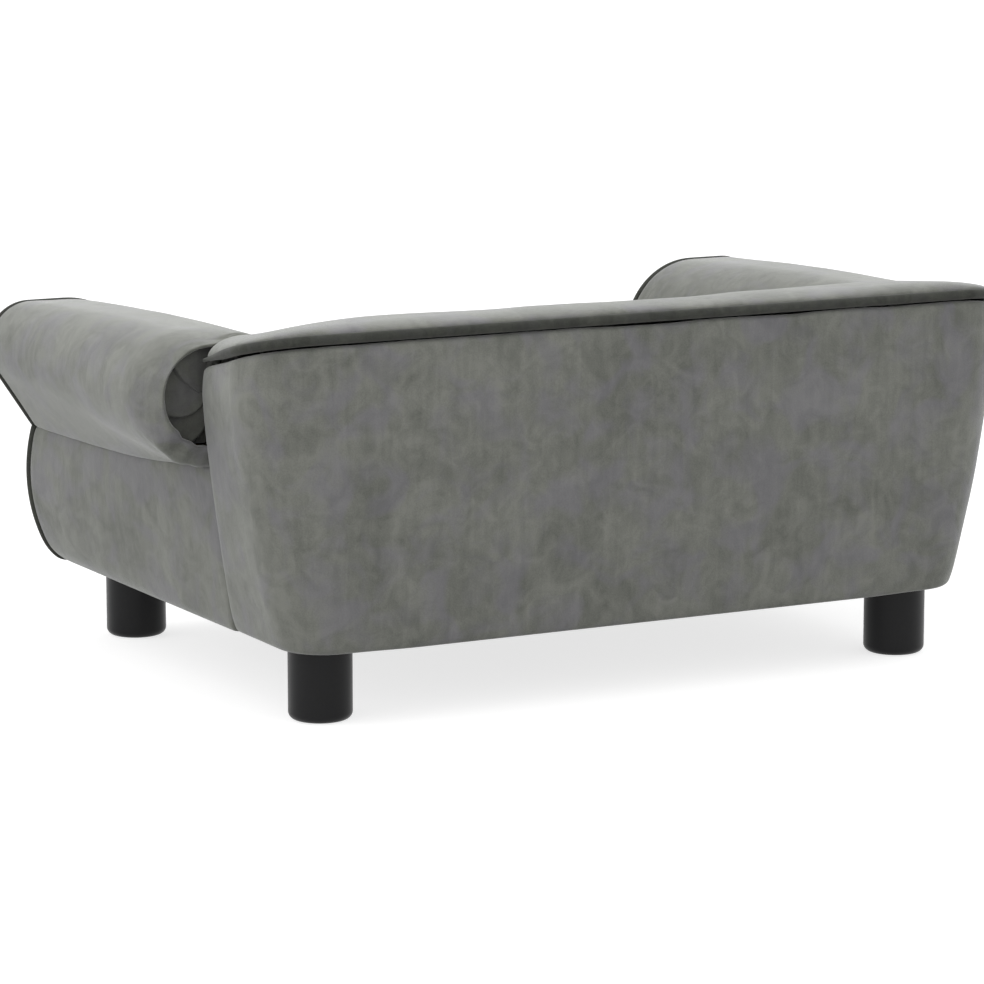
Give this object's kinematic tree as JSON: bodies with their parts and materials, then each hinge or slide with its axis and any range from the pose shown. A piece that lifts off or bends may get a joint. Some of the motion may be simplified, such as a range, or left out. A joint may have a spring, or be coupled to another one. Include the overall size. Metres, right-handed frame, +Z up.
{
  "type": "dog sofa bed",
  "caption": "Small upholstered sofa for a dog with rolled arms, a wrapped padded back, dark piping, round black feet and a loose zipped seat cushion.",
  "frame": {"origin": "on the floor under the middle of the sofa's overall box", "axes": "+X to the right when looking at the sofa's front, +Y from the front to the rear, +Z up"},
  "size_m": [0.727, 0.45, 0.2961],
  "materials": {
    "plush": "short-pile plush, mid grey",
    "piping": "dark grey woven piping",
    "underside_cloth": "black non-woven cloth",
    "foam": "open-cell foam",
    "wadding": "polyester wadding",
    "plywood": "plywood",
    "softwood": "planed softwood",
    "foot_plastic": "satin black",
    "zinc_steel": "zinc plated",
    "zip_cloth": "woven tape",
    "zip_nylon": "nylon coil",
    "zip_metal": "dark nickel"
  },
  "bodies": {
    "root": {"base_board": "plywood", "t_nuts": "zinc_steel", "leg_bolts": "zinc_steel", "frame_screws": "zinc_steel", "front_rail": "softwood", "back_board": "plywood", "back_padding": "wadding", "back_foam": "foam", "seat_foam": "foam", "back_outer_cover": "plush", "back_inner_cover": "plush", "back_piping": "piping", "seat_deck_cover": "underside_cloth", "front_rail_cover": "plush", "dust_cover": "underside_cloth", "dust_cover_staples": "zinc_steel", "arm_board_left": "plywood", "arm_board_right": "plywood", "arm_front_board_left": "plywood", "arm_front_board_right": "plywood", "arm_rear_board_left": "plywood", "arm_rear_board_right": "plywood", "arm_top_rail_left": "softwood", "arm_top_rail_right": "softwood", "wing_board_left": "plywood", "wing_board_right": "plywood", "corner_post_left": "softwood", "corner_post_right": "softwood", "arm_foam_left": "foam", "arm_foam_right": "foam", "side_padding_left": "wadding", "side_padding_right": "wadding", "wing_foam_left": "foam", "wing_foam_right": "foam", "arm_cover_left": "plush", "arm_cover_right": "plush", "side_cover_left": "plush", "side_cover_right": "plush", "arm_end_cap_left": "plush", "arm_end_cap_right": "plush", "arm_facing_left": "plush", "arm_facing_right": "plush", "facing_piping_left": "piping", "facing_piping_right": "piping", "foot_rear_left": "foot_plastic", "foot_rear_right": "foot_plastic", "foot_front_left": "foot_plastic", "foot_front_right": "foot_plastic"},
    "seat_cushion": {"cushion_foam": "foam", "cushion_cover": "plush", "cushion_piping_top": "piping", "cushion_piping_bottom": "piping", "zip_tape": "zip_cloth", "zip_teeth": "zip_nylon"},
    "zip_slider": {"zip_slider": "zip_metal"},
    "zip_pull": {"zip_pull": "zip_metal"}
  },
  "joints": [
    {"name": "cushion_lift", "type": "slide", "parent": "root", "child": "seat_cushion", "axis": [0, 0, 1], "range_m": [0, 0.22]},
    {"name": "zip_slide", "type": "slide", "parent": "seat_cushion", "child": "zip_slider", "axis": [1, 0, 0], "range_m": [0, 0.343]},
    {"name": "pull_swing", "type": "hinge", "parent": "zip_slider", "child": "zip_pull", "pos_m": [-0.1715, 0.1495, 0.1318], "axis": [0, 0, 1], "range_deg": [0, 18]}
  ]
}
